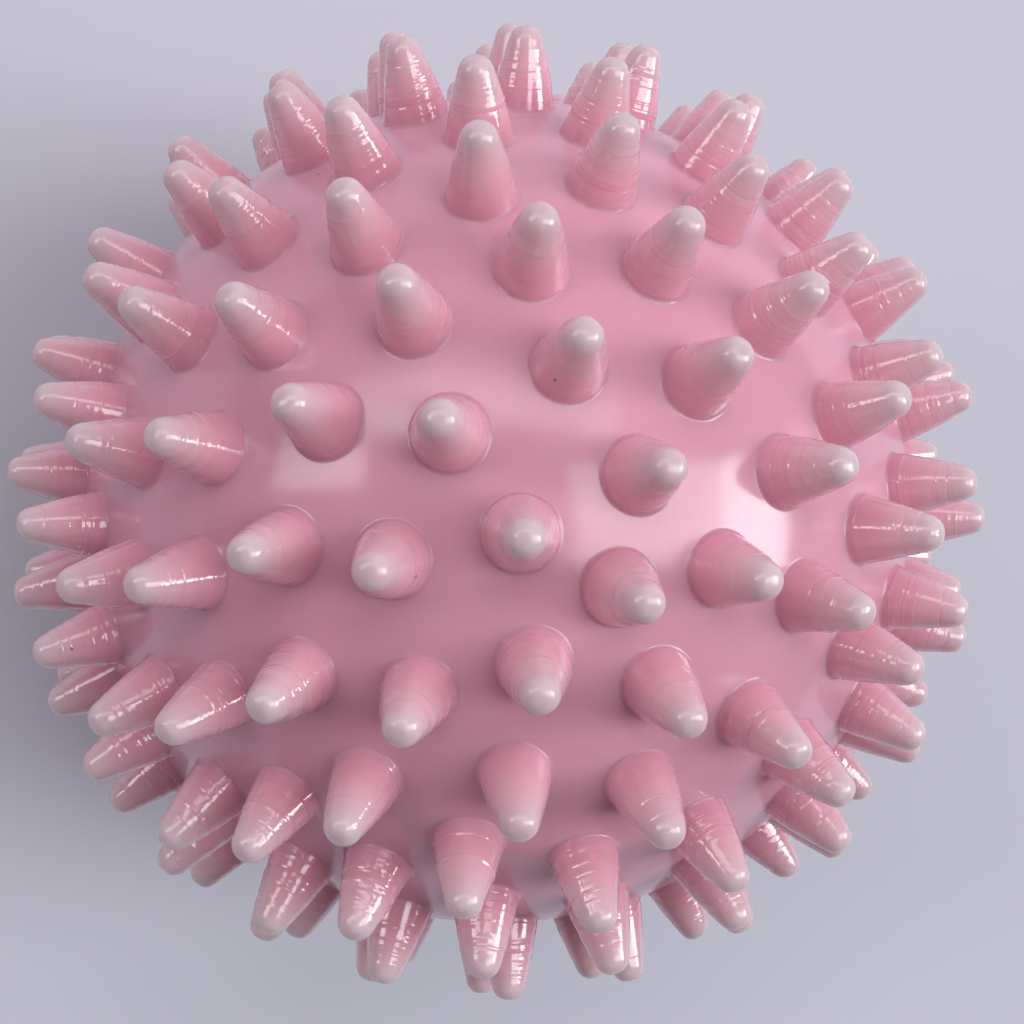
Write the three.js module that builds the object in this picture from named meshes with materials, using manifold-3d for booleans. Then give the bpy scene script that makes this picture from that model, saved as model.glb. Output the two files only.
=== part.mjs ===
import * as THREE from 'three';
import { ConvexHull } from 'three/addons/math/ConvexHull.js';
import Module from 'manifold-3d';

// Spiky massage ball. Millimetres, +Z up. The ball stands on the five spikes around its
// valve, which is at the bottom pole, and the origin is on the floor under its centre.

// ---- Moulded skin ----
const CORE_RADIUS = 38.5; // smooth outside of the skin, between the spikes
const WALL = 2.4;
const SPIKE_LENGTH = 6.5;
const SPIKE_SIDES = 7;
const SPIKE_BASE_RADIUS = 2.95;
const SPIKE_SHOULDER = { height: 5, radius: 1.5 };
const SPIKE_CROWN = { height: 6.15, radius: 0.9 };

// ---- Spike layout: rings of latitude, mirrored in the mould's parting plane ----
const RING_PITCH_DEG = 12;
const RING_COUNTS = [1, 5, 10, 15, 19, 22, 25, 26]; // from the pole to the parting plane
const RING_START_DEG = [0, 57.5, 8, 9, 0.5, 10.8, 12.8, 5.5];

// ---- Inflation valve, measured inward from the skin's outside at the bottom pole ----
const CLEARANCE = 0.3; // between pieces that are bonded or pressed together
const VALVE_RADIUS = 4.2;
const VALVE_FLANGE = { radius: 7.5, thickness: 1.3, start: 3.1, dish: 0.6 };
const VALVE_STEM = { radius: 3.1, end: 9.5 };
const VALVE_SEAT = { radius: 3.1, depth: 1.4 };
const NEEDLE_BORE_RADIUS = 1.8;
const NAIL_NOTCH = { width: 2, reach: 1.1, depth: 0.9 };
const CUT_THROUGH = 2; // how far a cutting tool runs past a face

// ---- Plug ----
const PLUG_HEAD = { radius: 2.8, top: 0.1 };
const PLUG_PIN_RADIUS = 1.25;
const PLUG_RIBS = { radius: 1.5, first: 3, pitch: 1.6, count: 3, width: 0.7 };
const PLUG_END = { depth: 8.6, radius: 0.7, taper: 0.7 };

const ROUND = 32; // sides of the turned valve pieces
const HOLLOW_DETAIL = 5;
const WELD_STEPS_PER_MM = 1e4; // points this close together are one corner

const wasm = await Module();
wasm.setup();

// ---- Helpers ----
function soft(name, color, roughness) {
  return new THREE.MeshStandardMaterial({ name, color, roughness, metalness: 0 });
}

function toManifold(geometry) {
  const position = geometry.attributes.position;
  const corners = new Map();
  const vertProperties = [];
  const weld = (i) => {
    const point = [position.getX(i), position.getY(i), position.getZ(i)];
    const key = point.map((value) => Math.round(value * WELD_STEPS_PER_MM)).join();
    if (!corners.has(key)) {
      corners.set(key, corners.size);
      vertProperties.push(...point);
    }
    return corners.get(key);
  };
  const index = geometry.index ? [...geometry.index.array] : [...Array(position.count).keys()];
  const triVerts = [];
  for (let i = 0; i < index.length; i += 3) {
    const triangle = index.slice(i, i + 3).map(weld);
    if (new Set(triangle).size === 3) {
      triVerts.push(...triangle);
    }
  }
  return new wasm.Manifold(new wasm.Mesh({
    numProp: 3,
    vertProperties: Float32Array.from(vertProperties),
    triVerts: Uint32Array.from(triVerts),
  }));
}

function toMesh(name, manifold, material) {
  const solid = manifold.getMesh();
  const geometry = new THREE.BufferGeometry();
  geometry.setAttribute('position', new THREE.BufferAttribute(Float32Array.from(solid.vertProperties), 3));
  geometry.setIndex(new THREE.BufferAttribute(Uint32Array.from(solid.triVerts), 1));
  const mesh = new THREE.Mesh(geometry, material);
  mesh.name = name;
  return mesh;
}

// ---- Spikes ----
function onSphere(polarDeg, turnDeg) {
  const polar = THREE.MathUtils.degToRad(polarDeg);
  const turn = THREE.MathUtils.degToRad(turnDeg);
  const level = Math.sin(polar);
  return new THREE.Vector3(level * Math.cos(turn), level * Math.sin(turn), Math.cos(polar));
}

function spikeDirections() {
  const directions = [];
  RING_COUNTS.forEach((count, ring) => {
    for (let i = 0; i < count; i += 1) {
      const direction = onSphere(ring * RING_PITCH_DEG, RING_START_DEG[ring] + (360 * i) / count);
      directions.push(direction);
      // The bottom pole carries the valve in place of a spike.
      if (ring > 0) {
        directions.push(new THREE.Vector3(direction.x, direction.y, -direction.z));
      }
    }
  });
  return directions;
}

// The corners of a spike's cross-section, in order anticlockwise seen from outside.
function spikeRing(direction, radius, distance) {
  const isPole = Math.abs(direction.z) === 1;
  const side = isPole ? new THREE.Vector3(1, 0, 0) : new THREE.Vector3(0, 0, 1).cross(direction).normalize();
  const across = direction.clone().cross(side);
  const points = [];
  for (let i = 0; i < SPIKE_SIDES; i += 1) {
    const angle = (2 * Math.PI * i) / SPIKE_SIDES;
    points.push(direction.clone().multiplyScalar(distance)
      .addScaledVector(side, radius * Math.cos(angle))
      .addScaledVector(across, radius * Math.sin(angle)));
  }
  return points;
}

function addSpike(triangles, rings, tip) {
  rings.slice(1).forEach((upper, level) => {
    const lower = rings[level];
    lower.forEach((point, i) => {
      const next = (i + 1) % SPIKE_SIDES;
      triangles.push([point, lower[next], upper[next]], [point, upper[next], upper[i]]);
    });
  });
  const crown = rings[rings.length - 1];
  crown.forEach((point, i) => triangles.push([point, crown[(i + 1) % SPIKE_SIDES], tip]));
}

function hullTriangles(points) {
  const hull = new ConvexHull().setFromPoints(points);
  return hull.faces.map((face) => {
    const start = face.edge;
    return [start.head().point, start.next.head().point, start.next.next.head().point];
  });
}

// The skin's outside: a sphere drawn through the corners of every spike's base, with each
// base left open and its spike standing on it.
function spikyOutside() {
  const baseDistance = Math.sqrt(CORE_RADIUS ** 2 - SPIKE_BASE_RADIUS ** 2);
  const owner = new Map();
  const triangles = [];
  spikeDirections().forEach((direction, spike) => {
    const base = spikeRing(direction, SPIKE_BASE_RADIUS, baseDistance);
    base.forEach((point) => owner.set(point, spike));
    const rings = [base].concat([SPIKE_SHOULDER, SPIKE_CROWN].map(
      ({ height, radius }) => spikeRing(direction, radius, CORE_RADIUS + height),
    ));
    addSpike(triangles, rings, direction.clone().multiplyScalar(CORE_RADIUS + SPIKE_LENGTH));
  });
  hullTriangles([...owner.keys()]).forEach((triangle) => {
    const owners = new Set(triangle.map((point) => owner.get(point)));
    if (owners.size > 1) {
      triangles.push(triangle);
    }
  });
  return toManifold(new THREE.BufferGeometry().setFromPoints(triangles.flat()));
}

// ---- Valve ----
// A turned piece from [radius, depth] pairs, depth counted inward from the bottom pole.
function turned(profile) {
  const points = [...profile, profile[0]].map(([r, depth]) => new THREE.Vector2(r, depth - CORE_RADIUS));
  return toManifold(new THREE.LatheGeometry(points, ROUND).rotateX(Math.PI / 2));
}

function skinHole() {
  const radius = VALVE_RADIUS + CLEARANCE;
  const end = WALL + CUT_THROUGH;
  return turned([[0, -CUT_THROUGH], [radius, -CUT_THROUGH], [radius, end], [0, end]]);
}

function skin() {
  const hollow = toManifold(new THREE.IcosahedronGeometry(CORE_RADIUS - WALL, HOLLOW_DETAIL));
  return spikyOutside().subtract(hollow).subtract(skinHole());
}

function nailNotch() {
  const length = VALVE_RADIUS - VALVE_SEAT.radius + NAIL_NOTCH.reach;
  const height = NAIL_NOTCH.depth + CUT_THROUGH;
  const box = new THREE.BoxGeometry(NAIL_NOTCH.width, length, height);
  const middle = VALVE_SEAT.radius - CLEARANCE + length / 2;
  box.translate(0, middle, NAIL_NOTCH.depth - height / 2 - CORE_RADIUS);
  return toManifold(box);
}

function valveBody() {
  const rim = VALVE_FLANGE.start + VALVE_FLANGE.dish;
  const flangeEnd = rim + VALVE_FLANGE.thickness;
  return turned([
    [VALVE_SEAT.radius, 0],
    [VALVE_RADIUS, 0],
    [VALVE_RADIUS, VALVE_FLANGE.start],
    [VALVE_FLANGE.radius, rim],
    [VALVE_FLANGE.radius, flangeEnd],
    [VALVE_STEM.radius, flangeEnd],
    [VALVE_STEM.radius, VALVE_STEM.end],
    [NEEDLE_BORE_RADIUS, VALVE_STEM.end],
    [NEEDLE_BORE_RADIUS, VALVE_SEAT.depth],
    [VALVE_SEAT.radius, VALVE_SEAT.depth],
  ]).subtract(nailNotch());
}

function valvePlug() {
  const headEnd = VALVE_SEAT.depth - CLEARANCE;
  const profile = [[0, PLUG_HEAD.top], [PLUG_HEAD.radius, PLUG_HEAD.top], [PLUG_HEAD.radius, headEnd],
    [PLUG_PIN_RADIUS, headEnd]];
  for (let i = 0; i < PLUG_RIBS.count; i += 1) {
    const start = PLUG_RIBS.first + i * PLUG_RIBS.pitch;
    profile.push(
      [PLUG_PIN_RADIUS, start],
      [PLUG_RIBS.radius, start + PLUG_RIBS.width / 2],
      [PLUG_PIN_RADIUS, start + PLUG_RIBS.width],
    );
  }
  profile.push(
    [PLUG_PIN_RADIUS, PLUG_END.depth - PLUG_END.taper],
    [PLUG_END.radius, PLUG_END.depth],
    [0, PLUG_END.depth],
  );
  return turned(profile);
}

// ---- Assembly ----
const pinkVinyl = soft('pink_vinyl', 0xd98fa6, 0.28);
const valveVinyl = soft('valve_vinyl', 0xc98496, 0.4);
const plugVinyl = soft('plug_vinyl', 0xe3b7c3, 0.35);

const ball = new THREE.Group();
ball.name = 'massage_ball';
ball.add(
  toMesh('skin', skin(), pinkVinyl),
  toMesh('valve_body', valveBody(), valveVinyl),
  toMesh('valve_plug', valvePlug(), plugVinyl),
);

// Stand the ball on the floor.
const lowest = new THREE.Box3().setFromObject(ball).min.z;
ball.children.forEach((mesh) => mesh.geometry.translate(0, 0, -lowest));

export default ball;
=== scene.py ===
import math

import bpy
import numpy as np
from mathutils import Matrix, Vector
from mathutils.geometry import delaunay_2d_cdt


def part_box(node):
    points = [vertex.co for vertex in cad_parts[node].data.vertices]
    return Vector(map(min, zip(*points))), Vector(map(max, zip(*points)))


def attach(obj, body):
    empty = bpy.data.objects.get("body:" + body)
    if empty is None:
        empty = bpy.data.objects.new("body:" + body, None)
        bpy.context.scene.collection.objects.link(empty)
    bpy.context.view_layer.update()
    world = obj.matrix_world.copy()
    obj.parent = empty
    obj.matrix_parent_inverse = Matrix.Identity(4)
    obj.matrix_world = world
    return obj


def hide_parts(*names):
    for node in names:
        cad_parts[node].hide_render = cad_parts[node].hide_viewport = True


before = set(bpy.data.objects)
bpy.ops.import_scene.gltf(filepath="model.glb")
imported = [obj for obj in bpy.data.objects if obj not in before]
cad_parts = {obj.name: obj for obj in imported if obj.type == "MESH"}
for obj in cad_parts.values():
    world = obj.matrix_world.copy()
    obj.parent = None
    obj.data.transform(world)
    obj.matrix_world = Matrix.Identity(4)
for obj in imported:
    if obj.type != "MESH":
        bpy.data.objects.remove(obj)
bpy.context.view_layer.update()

MM = 0.001
SEED = 41
FULL_TURN = 2 * math.pi
GOLDEN_ANGLE = math.pi * (3 - math.sqrt(5))
NEARLY_ZERO = 1e-6

# ---- The ball, as the CAD frame has it ----
CORE_RADIUS = 38.5 * MM
SPIKE_LENGTH = 6.5 * MM
WALL = 2.4 * MM
BALL_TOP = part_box("skin")[1].z
CENTRE = Vector((0, 0, BALL_TOP - CORE_RADIUS - SPIKE_LENGTH))
TIP_TOLERANCE = 0.02 * MM
KEY_DIGITS = 3  # directions that agree to this many digits are one spike's

# ---- Camera: almost over the ball's pole, turned about the line of sight ----
CAMERA_ELEVATION = math.radians(74.8)
CAMERA_ROLL = math.radians(122.5)
CAMERA_DISTANCE = 3.4 * CORE_RADIUS
CAMERA_LENS = 47.1
CAMERA_CLIP = 0.01
AIM_RIGHT = 1.38 * MM
AIM_DOWN = 0.15 * MM

# ---- Spike shape: radius, or radius and height above the core, in millimetres ----
SPIKE_SEGMENTS = 32
FOOT_RADII = [3.05, 2.84]
SIDE_START = (2.77, 0.05)
SIDE_END = (1.5, 5.2)
SIDE_BULGE = 0.08
SIDE_RINGS = 41
CAP_RINGS = 9
CAP_FLATNESS = 2.8
SPIKE_RINGS = len(FOOT_RADII) + SIDE_RINGS + CAP_RINGS - 1
LENGTH_SPREAD = 0.01
LEAN_SPREAD = math.radians(0.8)

# ---- Marks of the tool that cut the spikes in the mould: short steps round each spike ----
STEP_FLAT = (0.12, 0.24)  # slopes of the flat runs, against the spike's own taper
STEP_STEEP = (-0.11, -0.03)
STEP_FLAT_SHARE = 0.3
STEP_CHANGE = 0.55  # how likely a ring is to end a run
STEP_JITTER = 0.3
STEP_TREND = 13  # rings over which the steps keep to the spike's own taper
STEP_ONE_SIDED = 0.5
STEP_TILT = 0.09 * MM

# ---- Surface of the core ----
FILLER_POINTS = 15000
FILLER_GAP = 0.45 * MM
WAVES = 14
WAVE_HEIGHT = 0.012 * MM
WAVE_LENGTH = 11 * MM
SEAM_POINTS = 480
SEAM_CLEAR = 1.1 * MM
SEAM = [(-0.7, 0), (-0.16, 0), (-0.06, 0.06), (0.06, 0.06), (0.16, 0), (0.7, 0)]  # along, out: mm
NET_TOLERANCE = 1e-9
INNER_RINGS = 40

# ---- Valve at the bottom pole: radius and depth below the skin's outside, in millimetres ----
VALVE_SEGMENTS = 96
HOLE_EDGE = [(4.6, 0), (4.48, 0.03), (4.38, 0.12), (4.34, 0.3)]
COLLAR = [
    (3.1, 1.4), (3.1, 0.15), (3.16, 0.04), (3.3, 0), (3.95, 0), (4.12, 0.05), (4.2, 0.2),
    (4.2, 3.1), (7.35, 3.68), (7.5, 3.85), (7.5, 4.8), (7.35, 5), (3.1, 5),
    (3.1, 9.25), (2.9, 9.5), (2.0, 9.5), (1.8, 9.3), (1.8, 1.4),
]
NOTCH_DEPTH = 0.9
NOTCH_HALF_WIDTH = (0.8, 1.05)
NOTCH_RADII = (3, 4.3)
PLUG_HEAD = [
    (0, 0.16), (0.9, 0.13), (2.45, 0.1), (2.7, 0.16), (2.8, 0.32), (2.8, 0.95), (2.68, 1.1),
    (1.45, 1.1), (1.25, 1.3),
]
PLUG_RIB = [(1.25, 0), (1.47, 0.25), (1.5, 0.35), (1.47, 0.45), (1.25, 0.7)]
PLUG_RIB_STARTS = (3, 4.6, 6.2)
PLUG_END = [(1.25, 7.9), (0.8, 8.5), (0.6, 8.6), (0, 8.6)]
SHARP_ANGLE = math.radians(38)


# ---- Camera ----
def camera_axes():
    back = Vector((0, -math.cos(CAMERA_ELEVATION), math.sin(CAMERA_ELEVATION)))
    level = Vector((1, 0, 0))
    right = level * math.cos(CAMERA_ROLL) + back.cross(level) * math.sin(CAMERA_ROLL)
    return right, back.cross(right), back


RIGHT, UP, BACK = camera_axes()


def seen_at(right, up, back):
    """A place given by how far right, up and towards the camera it is from the ball's centre."""
    return CENTRE + RIGHT * right + UP * up + BACK * back


def turned_to(direction):
    back = direction.normalized()
    right = UP.cross(back).normalized()
    return Matrix((right, back.cross(right), back)).transposed().to_4x4()


def make_camera():
    data = bpy.data.cameras.new("camera")
    data.lens = CAMERA_LENS
    data.clip_start = CAMERA_CLIP
    camera = bpy.data.objects.new("camera", data)
    place = seen_at(0, 0, CAMERA_DISTANCE)
    aim = seen_at(AIM_RIGHT, -AIM_DOWN, 0)
    camera.matrix_world = Matrix.Translation(place) @ turned_to(place - aim)
    bpy.context.scene.collection.objects.link(camera)
    bpy.context.scene.camera = camera


# ---- Spikes ----
def spike_axes():
    """The way each spike points, read from the tips of the CAD skin."""
    tip = CORE_RADIUS + SPIKE_LENGTH - TIP_TOLERANCE
    ways = {}
    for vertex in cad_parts["skin"].data.vertices:
        out = vertex.co - CENTRE
        if out.length > tip:
            way = out.normalized()
            ways[tuple(round(part, KEY_DIGITS) for part in way)] = way
    return np.array([ways[key] for key in sorted(ways)])


def unit(vectors):
    return vectors / np.linalg.norm(vectors, axis=-1, keepdims=True)


def sides_of(axes):
    level = np.cross([0.0, 0.0, 1.0], axes)
    level[np.linalg.norm(level, axis=1) < NEARLY_ZERO] = (1, 0, 0)
    side = unit(level)
    return side, np.cross(axes, side)


def step_offsets(rng, gaps):
    """How far each side ring stands in or out: flat runs cut along the axis, and steeper ones between."""
    run = (rng.random(gaps.shape) < STEP_CHANGE).cumsum(1)
    shape = len(gaps), gaps.shape[1] + 1
    flat = rng.random(shape) < STEP_FLAT_SHARE
    slopes = np.where(flat, rng.uniform(*STEP_FLAT, shape), rng.uniform(*STEP_STEEP, shape))
    wander = np.pad((np.take_along_axis(slopes, run, 1) * gaps).cumsum(1), ((0, 0), (1, 0)))
    padded = np.pad(wander, ((0, 0), (STEP_TREND // 2, STEP_TREND // 2)), "edge")
    trend = np.lib.stride_tricks.sliding_window_view(padded, STEP_TREND, 1).mean(-1)
    return wander - trend


def side_rings(count, rng):
    """Height and radius of every point on the spikes' sides, by spike, ring and segment."""
    angles = np.arange(SPIKE_SEGMENTS) * FULL_TURN / SPIKE_SEGMENTS
    along = np.tile(np.linspace(0, 1, SIDE_RINGS), (count, 1))
    along[:, 1:-1] += rng.uniform(-STEP_JITTER, STEP_JITTER, (count, SIDE_RINGS - 2)) / SIDE_RINGS
    radius = SIDE_START[0] + (SIDE_END[0] - SIDE_START[0]) * along + SIDE_BULGE * np.sin(math.pi * along)
    height = (SIDE_START[1] + (SIDE_END[1] - SIDE_START[1]) * along) * MM
    step = step_offsets(rng, np.diff(height, axis=1))
    turn = rng.uniform(0, FULL_TURN, (count, SIDE_RINGS, 1))
    share = 1 - STEP_ONE_SIDED + STEP_ONE_SIDED * np.cos(angles - turn)
    tilt = np.sin(math.pi * along)[..., None] * np.cos(angles - turn[:, :1]) * STEP_TILT
    return height[..., None] + tilt, radius[..., None] * MM + step[..., None] * share


def cap_rings():
    """The blunt tip: the side's taper goes on while the tip closes round it."""
    turn = np.arange(1, CAP_RINGS) * math.pi / 2 / CAP_RINGS
    share = np.sin(turn) ** (2 / CAP_FLATNESS)
    rise = (SPIKE_LENGTH / MM - SIDE_END[1]) * share
    taper = (SIDE_START[0] - SIDE_END[0]) / (SIDE_END[1] - SIDE_START[1])
    radius = (SIDE_END[0] - taper * rise) * np.cos(turn) ** (2 / CAP_FLATNESS)
    return (SIDE_END[1] + rise) * MM, radius * MM


def spike_points(axes, rng):
    """Rings of points from the core up to each tip, and the tips."""
    count = len(axes)
    side, across = sides_of(axes)
    angles = np.arange(SPIKE_SEGMENTS) * FULL_TURN / SPIKE_SEGMENTS
    around = side[:, None] * np.cos(angles)[:, None] + across[:, None] * np.sin(angles)[:, None]
    foot_radius = np.array(FOOT_RADII) * MM
    foot_height = np.sqrt(CORE_RADIUS**2 - foot_radius**2) - CORE_RADIUS
    cap_height, cap_radius = cap_rings()
    side_height, side_radius = side_rings(count, rng)

    def everywhere(values):
        return np.broadcast_to(values[:, None], (count, len(values), SPIKE_SEGMENTS))

    length = 1 - abs(rng.normal(0, LENGTH_SPREAD, (count, 1, 1)))
    raised = np.concatenate([side_height, everywhere(cap_height)], 1) * length
    lean = rng.normal(0, LEAN_SPREAD, (count, 2))
    way = unit(axes + side * lean[:, :1] + across * lean[:, 1:])
    feet = axes[:, None, None] * (CORE_RADIUS + everywhere(foot_height)[..., None])
    shaft = axes[:, None, None] * CORE_RADIUS + way[:, None, None] * raised[..., None]
    radius = np.concatenate([everywhere(foot_radius), side_radius, everywhere(cap_radius)], 1)
    rings = np.concatenate([feet, shaft], 1) + around[:, None] * radius[..., None]
    tips = axes * CORE_RADIUS + way * SPIKE_LENGTH * length[:, 0]
    return rings, tips


# ---- Core ----
def circle(radius, z, count):
    angles = np.arange(count) * FULL_TURN / count
    return np.stack([radius * np.cos(angles), radius * np.sin(angles), np.full(count, z)], 1)


def seam_points():
    """The fine raised line where the two halves of the mould met, round the middle of the ball."""
    rings = []
    for z, raised in SEAM:
        radius = math.sqrt(CORE_RADIUS**2 - (z * MM) ** 2) + raised * MM
        rings.append(circle(radius, z * MM, SEAM_POINTS))
    return np.concatenate(rings)


def filler_points(axes):
    """Evenly spread points on the core, clear of the spikes, the seam and the valve's hole."""
    step = np.arange(FILLER_POINTS) + 0.5
    z = 1 - 2 * step / FILLER_POINTS
    turn = step * GOLDEN_ANGLE
    level = np.sqrt(1 - z**2)
    points = np.stack([level * np.cos(turn), level * np.sin(turn), z], 1)
    near_spike = (points @ axes.T).max(1) > math.cos((FOOT_RADII[0] * MM + FILLER_GAP) / CORE_RADIUS)
    near_hole = z < -math.cos((HOLE_EDGE[0][0] * MM + FILLER_GAP) / CORE_RADIUS)
    near_seam = abs(z) * CORE_RADIUS < SEAM_CLEAR
    return points[~near_spike & ~near_hole & ~near_seam] * CORE_RADIUS


def core_triangles(points):
    """Joins points on the core into triangles: a flat net over the sphere, opened at the bottom pole."""
    way = unit(points)
    flat = way[:, :2] / (1 + way[:, 2:])
    net = delaunay_2d_cdt([Vector(p) for p in flat], [], [], 0, NET_TOLERANCE)
    owner = [ids[0] for ids in net[3]]
    return np.array([[owner[i] for i in face] for face in net[2]])


def wavy(points, rng):
    """Lifts and lowers points by the slow unevenness of a soft moulded skin."""
    way = unit(points)
    ripple = unit(rng.normal(0, 1, (WAVES, 3))) * FULL_TURN * CORE_RADIUS / WAVE_LENGTH
    lift = np.cos(way @ ripple.T + rng.uniform(0, FULL_TURN, WAVES)).sum(1) * WAVE_HEIGHT
    return points + way * lift[:, None]


# ---- Skin ----
def band(lower, upper):
    """Quads between two closed rings of point numbers."""
    return np.stack([lower, np.roll(lower, -1), np.roll(upper, -1), upper], -1).reshape(-1, 4).tolist()


def fan(ring, tip):
    return [[a, b, tip] for a, b in zip(ring, np.roll(ring, -1))]


def inside_rings():
    """The skin's inner face as rings: down the edge of the valve's hole, then up to near the top."""
    rings = []
    for radius, depth in HOLE_EDGE[1:]:
        z = depth * MM - math.sqrt(CORE_RADIUS**2 - (radius * MM) ** 2)
        rings.append(circle(radius * MM, z, VALVE_SEGMENTS))
    inner = CORE_RADIUS - WALL
    first = math.pi - math.asin(HOLE_EDGE[-1][0] * MM / inner)
    for k in range(INNER_RINGS):
        polar = first * (1 - k / INNER_RINGS)
        rings.append(circle(inner * math.sin(polar), inner * math.cos(polar), VALVE_SEGMENTS))
    return np.array(rings)


def skin_mesh(axes):
    rng = np.random.default_rng(SEED)
    rings, tips = spike_points(axes, rng)
    mouth_radius = HOLE_EDGE[0][0] * MM
    mouth = circle(mouth_radius, -math.sqrt(CORE_RADIUS**2 - mouth_radius**2), VALVE_SEGMENTS)
    open_core = np.concatenate([filler_points(axes), seam_points()])
    outside = [rings.reshape(-1, 3), tips, mouth, open_core]
    inside = inside_rings()
    inner_top = np.array([[0, 0, CORE_RADIUS - WALL]])

    starts = np.cumsum([0] + [len(part) for part in outside + [inside.reshape(-1, 3)]])
    spike_ids = np.arange(starts[1]).reshape(rings.shape[:3])
    tip_ids = np.arange(starts[1], starts[2])
    mouth_ids = np.arange(starts[2], starts[3])
    inside_ids = np.arange(starts[4], starts[5]).reshape(inside.shape[:2])

    points = np.concatenate(outside)
    net_ids = np.concatenate([spike_ids[:, 0].ravel(), np.arange(starts[2], starts[4])])
    net = core_triangles(points[net_ids])
    loops = np.repeat(np.arange(len(axes) + 1), [SPIKE_SEGMENTS] * len(axes) + [VALVE_SEGMENTS])
    owner = np.concatenate([loops, len(axes) + 1 + np.arange(len(open_core))])[net]
    across_loop = (owner[:, 0] == owner[:, 1]) & (owner[:, 1] == owner[:, 2])
    faces = net_ids[net[~across_loop]].tolist()

    for spike, tip in zip(spike_ids, tip_ids):
        for lower, upper in zip(spike, spike[1:]):
            faces += band(lower, upper)
        faces += fan(spike[-1], tip)
    lips = [mouth_ids, *inside_ids]
    for outer, inner in zip(lips, lips[1:]):
        faces += band(inner, outer)
    faces += fan(inside_ids[-1][::-1], starts[5])
    return np.concatenate([wavy(points, rng), inside.reshape(-1, 3), inner_top]), faces


# ---- Valve ----
def turned(profile):
    """A solid of revolution about the ball's pole axis, from points of radius and depth."""
    closed = profile[0][0] > 0
    points, faces, rings = [], [], []
    for radius, depth in profile:
        size = VALVE_SEGMENTS if radius else 1
        rings.append(np.arange(len(points), len(points) + size))
        points += circle(radius * MM, depth * MM - CORE_RADIUS, size).tolist()
    for lower, upper in zip(rings, rings[1:] + rings[:1] if closed else rings[1:]):
        if len(lower) == 1:
            faces += fan(upper[::-1], lower[0])
        elif len(upper) == 1:
            faces += fan(lower, upper[0])
        else:
            faces += band(lower, upper)
    return np.array(points), faces


def notched(points):
    """Sinks a nail's width of the collar's rim, so that the plug can be levered out."""
    narrow, wide = (part * MM for part in NOTCH_HALF_WIDTH)
    low, high = (part * MM for part in NOTCH_RADII)
    out = np.hypot(points[:, 0], points[:, 1])
    share = np.clip((wide - abs(points[:, 0])) / (wide - narrow), 0, 1)
    rim = (out > low) & (out < high) & (points[:, 1] > 0)
    sunk = np.maximum(points[:, 2], NOTCH_DEPTH * MM * share - CORE_RADIUS)
    points[:, 2] = np.where(rim, sunk, points[:, 2])
    return points


def plug_profile():
    ribs = [(radius, start + rise) for start in PLUG_RIB_STARTS for radius, rise in PLUG_RIB]
    return PLUG_HEAD + ribs + PLUG_END


def add_piece(name, points, faces, body, node, material):
    mesh = bpy.data.meshes.new(name)
    mesh.from_pydata([Vector(p) + CENTRE for p in points], [], faces)
    mesh.validate()
    mesh.shade_smooth()
    mesh.materials.append(material)
    piece = bpy.data.objects.new(name, mesh)
    bpy.context.scene.collection.objects.link(piece)
    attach(piece, body)
    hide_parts(node)
    return piece


# ---- Materials ----
class Nodes:
    """Short names for making a material's nodes. A noise's size is the size of its blotches."""

    def __init__(self, name):
        self.material = bpy.data.materials.new(name)
        self.material.use_nodes = True
        self.tree = self.material.node_tree
        self.shader = self.tree.nodes["Principled BSDF"]
        self.place = self.add("TexCoord").outputs["Object"]

    def add(self, kind, **settings):
        node = self.tree.nodes.new("ShaderNode" + kind)
        for name, value in settings.items():
            setattr(node, name, value)
        return node

    def link(self, value, socket):
        if isinstance(value, bpy.types.NodeSocket):
            self.tree.links.new(value, socket)
        else:
            socket.default_value = value

    def math(self, operation, *values):
        node = self.add("Math", operation=operation)
        for value, socket in zip(values, node.inputs):
            self.link(value, socket)
        return node.outputs[0]

    def distance_from(self, point):
        node = self.add("VectorMath", operation="DISTANCE")
        self.link(self.place, node.inputs[0])
        self.link(point, node.inputs[1])
        return node.outputs["Value"]

    def spread(self, value, low, high, to_low, to_high):
        """A number from to_low to to_high, as value goes from low to high."""
        node = self.add("MapRange")
        for part, socket in zip((value, low, high, to_low, to_high), node.inputs):
            self.link(part, socket)
        return node.outputs[0]

    def noise(self, size, detail, along=None):
        node = self.add("TexNoise", noise_dimensions="4D" if along else "3D")
        self.link(self.place, node.inputs["Vector"])
        self.link(1 / size, node.inputs["Scale"])
        self.link(detail, node.inputs["Detail"])
        if along:
            self.link(along, node.inputs["W"])
        return node.outputs[0]

    def spots(self, spacing, size):
        node = self.add("TexVoronoi")
        self.link(self.place, node.inputs["Vector"])
        self.link(1 / spacing, node.inputs["Scale"])
        return self.math("LESS_THAN", node.outputs["Distance"], size / spacing)

    def ramp(self, value, stops):
        node = self.add("ValToRGB")
        elements = node.color_ramp.elements
        for element, (position, color) in zip(elements, (stops[0], stops[-1])):
            element.position, element.color = position, (*color, 1)
        for position, color in stops[1:-1]:
            elements.new(position).color = (*color, 1)
        self.link(value, node.inputs[0])
        return node.outputs[0]

    def mix(self, share, first, second):
        node = self.add("MixRGB")
        for value, socket in zip((share, first, second), node.inputs):
            self.link(value if isinstance(value, bpy.types.NodeSocket) else (*value, 1), socket)
        return node.outputs[0]

    def bump(self, height):
        node = self.add("Bump")
        self.link(1, node.inputs["Distance"])
        self.link(height, node.inputs["Height"])
        self.link(node.outputs[0], self.shader.inputs["Normal"])

    def soft_plastic(self, color, depth, share):
        self.link(color, self.shader.inputs["Base Color"])
        self.link(share, self.shader.inputs["Subsurface Weight"])
        self.link(VINYL_SPREAD, self.shader.inputs["Subsurface Radius"])
        self.link(depth, self.shader.inputs["Subsurface Scale"])
        self.link(VINYL_IOR, self.shader.inputs["IOR"])


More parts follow.
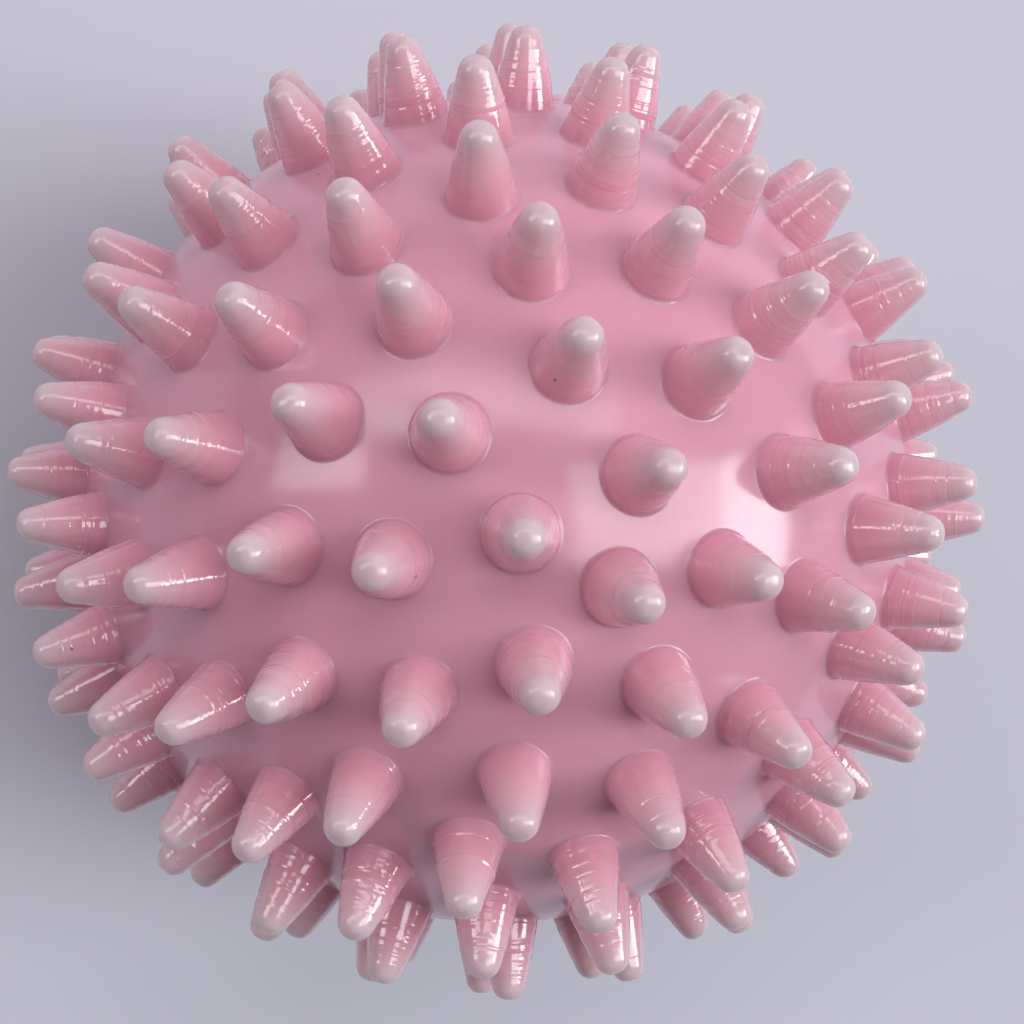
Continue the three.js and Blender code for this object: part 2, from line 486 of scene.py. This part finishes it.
VINYL_SPREAD = (1.0, 0.42, 0.5)  # red light travels furthest inside pink vinyl
VINYL_IOR = 1.58
NOISE_RANGE = (0.3, 0.7)  # a noise's values are nearly all between these

# Up a spike, as shares of its length: the core's pink at its foot, paler and greyer at its tip.
SKIN_COLORS = [
    (0.0, (0.70, 0.34, 0.44)), (0.04, (0.71, 0.33, 0.43)), (0.3, (0.74, 0.37, 0.46)),
    (0.5, (0.74, 0.42, 0.50)), (0.72, (0.70, 0.465, 0.525)), (0.92, (0.615, 0.495, 0.53)),
    (1.0, (0.595, 0.49, 0.52)),
]
FOOT = (0.1 * MM, 0.5 * MM)  # heights between which the core's surface turns into a spike's
FLUSH_COLOR = (0.67, 0.30, 0.40)
FLUSH_SIZE = 11 * MM
FLUSH_RANGE = (0.35, 0.7)
FLUSH_MOST = 0.2
SPECK_COLOR = (0.29, 0.14, 0.18)
SPECK_SPACING = 3 * MM
SPECK_SIZE = 0.15 * MM
SPECK_PATCH = 8.3 * MM
SPECK_RARITY = 0.66
SKIN_DEPTH = 2.4 * MM
SKIN_SOFTNESS = 0.9
SKIN_GRAIN = 0.14 * MM
SKIN_GRAIN_HEIGHT = 0.0008 * MM
LINE_SIZE = 2.2 * MM
LINE_CLOSENESS = 5.5  # how much faster the lines change up a spike than round it
LINE_HEIGHT = 0.026 * MM
CORE_ROUGHNESS = 0.14
SIDE_ROUGHNESS = 0.07
TIP_ROUGHER = 0.12
ROUGH_TIP = (0.6, 0.95)  # shares of a spike's length between which it loses its gloss
GLOSS_SIZE = 3.8 * MM
GLOSS_VARIATION = (-0.02, 0.05)
GLAZE = (0.9, 0.1)  # on a spike's side and on its tip
GLAZE_END = (0.7, 0.95)
GLAZE_ROUGHNESS = 0.045


def skin_color(nodes, share):
    flush = nodes.spread(nodes.noise(FLUSH_SIZE, 2), *FLUSH_RANGE, 0, FLUSH_MOST)
    color = nodes.mix(flush, nodes.ramp(share, SKIN_COLORS), FLUSH_COLOR)
    in_patch = nodes.math("GREATER_THAN", nodes.noise(SPECK_PATCH, 1), SPECK_RARITY)
    speck = nodes.math("MULTIPLY", nodes.spots(SPECK_SPACING, SPECK_SIZE), in_patch)
    return nodes.mix(speck, color, SPECK_COLOR)


def skin_relief(nodes, height):
    """Fine grain, and fine uneven lines round the spikes."""
    grain = nodes.math("MULTIPLY", nodes.noise(SKIN_GRAIN, 2), SKIN_GRAIN_HEIGHT)
    lines = nodes.noise(LINE_SIZE, 2, along=nodes.math("MULTIPLY", height, LINE_CLOSENESS))
    on_side = nodes.spread(height, *FOOT, 0, LINE_HEIGHT)
    return nodes.math("ADD", grain, nodes.math("MULTIPLY", lines, on_side))


def skin_gloss(nodes, height, share):
    """The roughness, lowest on the spikes' sides, and the glaze that only the spikes have."""
    rough = nodes.spread(height, *FOOT, CORE_ROUGHNESS, SIDE_ROUGHNESS)
    rough = nodes.math("ADD", rough, nodes.spread(share, *ROUGH_TIP, 0, TIP_ROUGHER))
    uneven = nodes.spread(nodes.noise(GLOSS_SIZE, 3), *NOISE_RANGE, *GLOSS_VARIATION)
    on_spike = nodes.spread(height, *FOOT, 0, 1)
    glaze = nodes.math("MULTIPLY", on_spike, nodes.spread(share, *GLAZE_END, *GLAZE))
    return nodes.math("ADD", rough, uneven), glaze


def skin_material():
    nodes = Nodes("pink_vinyl")
    height = nodes.math("SUBTRACT", nodes.distance_from(CENTRE), CORE_RADIUS)
    share = nodes.math("DIVIDE", height, SPIKE_LENGTH)
    nodes.soft_plastic(skin_color(nodes, share), SKIN_DEPTH, SKIN_SOFTNESS)
    nodes.bump(skin_relief(nodes, height))
    rough, glaze = skin_gloss(nodes, height, share)
    nodes.link(rough, nodes.shader.inputs["Roughness"])
    nodes.link(glaze, nodes.shader.inputs["Coat Weight"])
    nodes.link(GLAZE_ROUGHNESS, nodes.shader.inputs["Coat Roughness"])
    return nodes.material


# The valve's pieces: two colours to blotch between, and a roughness.
COLLAR_VINYL = ((0.66, 0.26, 0.37), (0.60, 0.21, 0.31), 0.38)
PLUG_VINYL = ((0.78, 0.46, 0.54), (0.74, 0.40, 0.49), 0.34)
VALVE_DEPTH = 1.2 * MM
VALVE_SOFTNESS = 0.25
VALVE_BLOTCH = 2.4 * MM
VALVE_GRAIN = 0.19 * MM
VALVE_GRAIN_HEIGHT = 0.006 * MM
VALVE_GLOSS = (-0.05, 0.08)


def valve_material(name, light, deep, roughness):
    """Satin vinyl, blotched between two colours."""
    nodes = Nodes(name)
    color = nodes.mix(nodes.spread(nodes.noise(VALVE_BLOTCH, 4), *NOISE_RANGE, 0, 1), light, deep)
    nodes.soft_plastic(color, VALVE_DEPTH, VALVE_SOFTNESS)
    grain = nodes.noise(VALVE_GRAIN, 3)
    nodes.bump(nodes.math("MULTIPLY", grain, VALVE_GRAIN_HEIGHT))
    low, high = (roughness + part for part in VALVE_GLOSS)
    nodes.link(nodes.spread(grain, *NOISE_RANGE, low, high), nodes.shader.inputs["Roughness"])
    return nodes.material


# ---- Stage ----
FLOOR_RADIUS = 1.4
FLOOR_SEGMENTS = 128
FLOOR_COLOR = (0.56, 0.54, 0.63, 1)
FLOOR_ROUGHNESS = 0.9
WORLD_COLOR = (0.92, 0.93, 1.0, 1)
WORLD_LIGHT = 0.155  # how brightly the backdrop lights the ball
WORLD_SEEN = 0.62  # how bright the backdrop itself looks
LIGHT_DISTANCE = 2.5

# Softboxes as seen from the ball: the way to each (right, up and towards the camera), half of
# the angles that it fills across and up, in degrees, its brightness and its colour.
SOFTBOXES = {
    "window": ((0.62, -0.015, 0.78), (20, 12), 4.1, (0.93, 1, 1)),
    "window_end": ((0.93, -0.015, 0.36), (10, 12), 8.0, (0.95, 1, 1)),
    "left": ((-0.7, 0.2, 0.685), (11, 7), 4.0, (1, 0.99, 1)),
    "door": ((-0.44, 0.38, 0.81), (7, 5), 1.6, (1, 0.99, 1)),
    "upper": ((-0.06, 0.48, 0.875), (34, 7), 1.9, (1, 0.99, 1)),
}
SKY_WAY = (0.30, 0.74, 0.60)
SKY_ANGLE = math.radians(60)
SKY_LIGHT = 0.95
SKY_COLOR = (1, 0.99, 1)


def make_floor():
    nodes = Nodes("floor")
    nodes.link(FLOOR_COLOR, nodes.shader.inputs["Base Color"])
    nodes.link(FLOOR_ROUGHNESS, nodes.shader.inputs["Roughness"])
    mesh = bpy.data.meshes.new("floor")
    edge = circle(FLOOR_RADIUS, 0, FLOOR_SEGMENTS).tolist()
    mesh.from_pydata(edge, [], [list(range(FLOOR_SEGMENTS))])
    mesh.materials.append(nodes.material)
    floor = bpy.data.objects.new("floor", mesh)
    bpy.context.scene.collection.objects.link(floor)


def make_world():
    """An even backdrop, dimmer as a light than it looks."""
    world = bpy.data.worlds.new("studio")
    world.use_nodes = True
    tree = world.node_tree
    background = tree.nodes["Background"]
    background.inputs["Color"].default_value = WORLD_COLOR
    strength = tree.nodes.new("ShaderNodeMapRange")
    strength.inputs["To Min"].default_value = WORLD_LIGHT
    strength.inputs["To Max"].default_value = WORLD_SEEN
    seen = tree.nodes.new("ShaderNodeLightPath").outputs["Is Camera Ray"]
    tree.links.new(seen, strength.inputs["Value"])
    tree.links.new(strength.outputs[0], background.inputs["Strength"])
    bpy.context.scene.world = world


def add_light(name, kind, way, color):
    data = bpy.data.lights.new(name, kind)
    data.color = color
    light = bpy.data.objects.new(name, data)
    out = (RIGHT * way[0] + UP * way[1] + BACK * way[2]).normalized()
    light.matrix_world = Matrix.Translation(CENTRE + out * LIGHT_DISTANCE) @ turned_to(out)
    bpy.context.scene.collection.objects.link(light)
    return light


def make_lights():
    for name, (way, half_angles, brightness, color) in SOFTBOXES.items():
        data = add_light(name, "AREA", way, color).data
        data.shape = "RECTANGLE"
        half_width, half_height = (math.tan(math.radians(part)) * LIGHT_DISTANCE for part in half_angles)
        data.size, data.size_y = 2 * half_width, 2 * half_height
        data.energy = math.pi * data.size * data.size_y * brightness  # watts, from its face's brightness
    sky = add_light("sky", "SUN", SKY_WAY, SKY_COLOR)
    sky.data.angle = SKY_ANGLE
    sky.data.energy = SKY_LIGHT
    sky.visible_glossy = False


# ---- Pieces ----
def sharpen_steps(mesh, spikes):
    """Makes the edges round the spikes' sides crisp, so that each step is a facet of its own."""
    ends = np.empty(2 * len(mesh.edges), np.int32)
    mesh.edges.foreach_get("vertices", ends)
    ring = ends.reshape(-1, 2) // SPIKE_SEGMENTS
    round_spike = (ring[:, 0] == ring[:, 1]) & (ring[:, 0] < spikes * SPIKE_RINGS)
    level = ring[:, 0] % SPIKE_RINGS - len(FOOT_RADII)
    sharp = round_spike & (level > 0) & (level < SIDE_RINGS - 1)
    mesh.attributes.new("sharp_edge", "BOOLEAN", "EDGE").data.foreach_set("value", sharp)


def make_skin():
    axes = spike_axes()
    points, faces = skin_mesh(axes)
    skin = add_piece("vinyl_skin", points, faces, "ball", "skin", skin_material())
    sharpen_steps(skin.data, len(axes))


def make_collar():
    points, faces = turned(COLLAR)
    vinyl = valve_material("valve_vinyl", *COLLAR_VINYL)
    collar = add_piece("valve_collar", notched(points), faces, "ball", "valve_body", vinyl)
    collar.data.set_sharp_from_angle(angle=SHARP_ANGLE)


def make_plug():
    points, faces = turned(plug_profile())
    vinyl = valve_material("plug_vinyl", *PLUG_VINYL)
    plug = add_piece("stopper_plug", points, faces, "plug", "valve_plug", vinyl)
    plug.data.set_sharp_from_angle(angle=SHARP_ANGLE)


bpy.context.scene.view_settings.view_transform = "Standard"
make_camera()
make_floor()
make_world()
make_lights()
make_skin()
make_collar()
make_plug()
